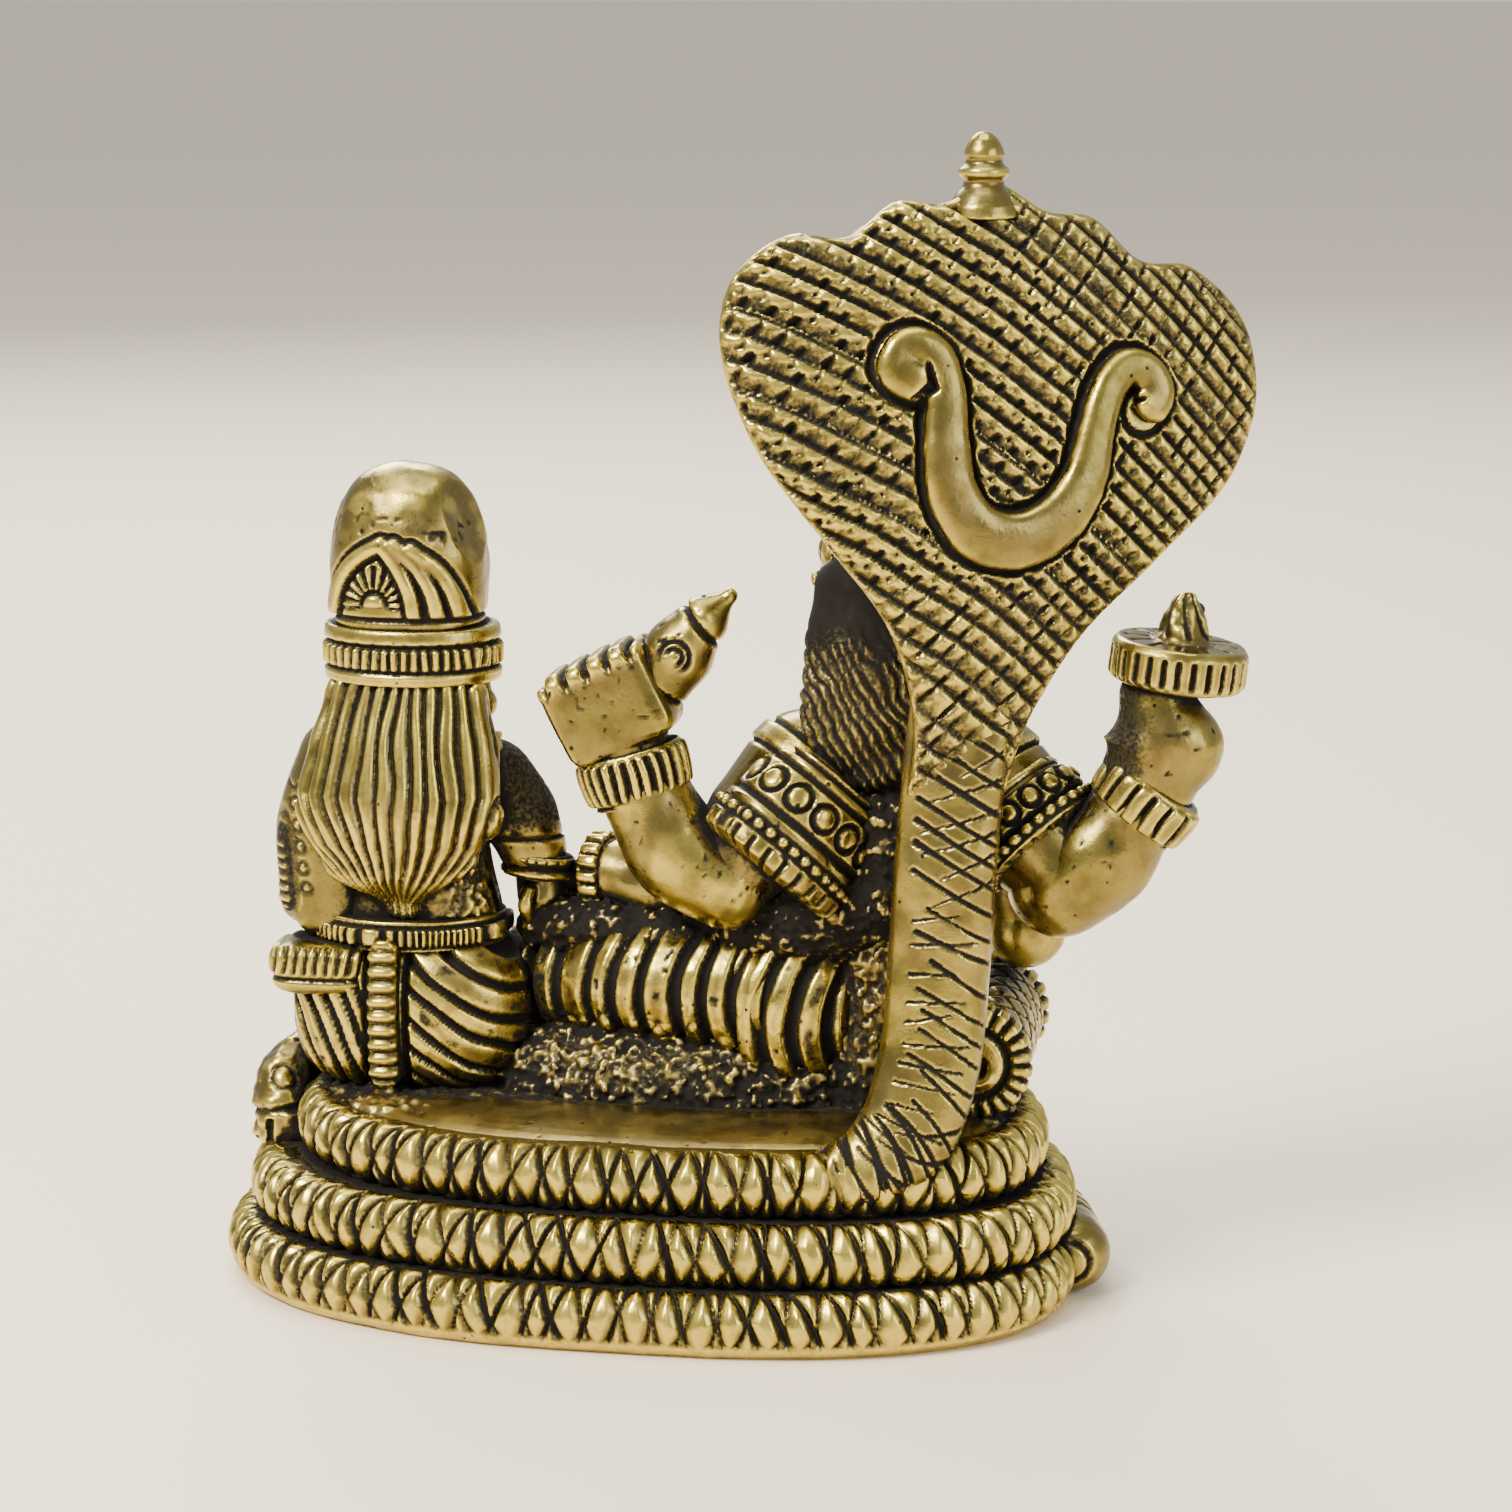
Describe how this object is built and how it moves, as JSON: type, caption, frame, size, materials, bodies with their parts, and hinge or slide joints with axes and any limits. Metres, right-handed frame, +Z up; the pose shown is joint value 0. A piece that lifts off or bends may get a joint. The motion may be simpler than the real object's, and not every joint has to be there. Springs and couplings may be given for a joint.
{
  "type": "cast brass shrine figure",
  "caption": "Cast brass shrine figure of Vishnu reclining on a coiled serpent with a spread hood, and Lakshmi seated at his feet.",
  "frame": {"origin": "centre of the flat resting face under the bottom coil", "axes": "+Z up; the figures face -Y, so the serpent's neck and the back of its hood are on the +Y side; Vishnu's head is towards -X and his feet and Lakshmi are towards +X"},
  "size_m": [0.0898, 0.0501, 0.1006],
  "materials": {
    "brass": "hand-chiselled antique brass, dark in the recesses and rubbed bright on the high spots",
    "dark_brass": "unrubbed antique brass with a brown-black patina and a cast grain"
  },
  "bodies": {
    "root": {"bed": "dark_brass", "bolster": "brass", "cobra_head_inner_left": "brass", "cobra_head_inner_right": "brass", "cobra_head_middle": "brass", "cobra_head_outer_left": "brass", "cobra_head_outer_right": "brass", "coil_bottom": "brass", "coil_middle": "brass", "coil_top": "brass", "forearm_web": "dark_brass", "ground": "dark_brass", "hood_crest": "brass", "hood_mark": "brass", "lakshmi_belt": "brass", "lakshmi_hair": "brass", "lakshmi_hair_band": "brass", "lakshmi_head": "brass", "lakshmi_headdress": "brass", "lakshmi_left_arm": "brass", "lakshmi_left_hand": "brass", "lakshmi_right_arm": "brass", "lakshmi_right_bangle": "brass", "lakshmi_right_hand": "brass", "lakshmi_sash": "brass", "lakshmi_skirt": "brass", "lakshmi_torso": "brass", "serpent_hood": "brass", "serpent_neck": "brass", "serpent_tail": "brass", "vishnu_belt": "brass", "vishnu_chakra": "brass", "vishnu_conch": "brass", "vishnu_crown": "brass", "vishnu_front_left_bracelet": "brass", "vishnu_front_left_forearm": "brass", "vishnu_front_left_hand": "brass", "vishnu_front_left_upper_arm": "brass", "vishnu_front_right_bracelet": "brass", "vishnu_front_right_forearm": "brass", "vishnu_front_right_hand": "brass", "vishnu_front_right_upper_arm": "brass", "vishnu_hair": "dark_brass", "vishnu_head": "brass", "vishnu_hips": "brass", "vishnu_left_foot": "brass", "vishnu_left_leg": "brass", "vishnu_rear_left_armlet": "brass", "vishnu_rear_left_bracelet": "brass", "vishnu_rear_left_forearm": "brass", "vishnu_rear_left_hand": "brass", "vishnu_rear_left_upper_arm": "brass", "vishnu_rear_right_armlet": "brass", "vishnu_rear_right_bracelet": "brass", "vishnu_rear_right_forearm": "brass", "vishnu_rear_right_hand": "brass", "vishnu_rear_right_upper_arm": "brass", "vishnu_right_foot": "brass", "vishnu_right_leg": "brass", "vishnu_torso": "dark_brass"}
  },
  "joints": []
}
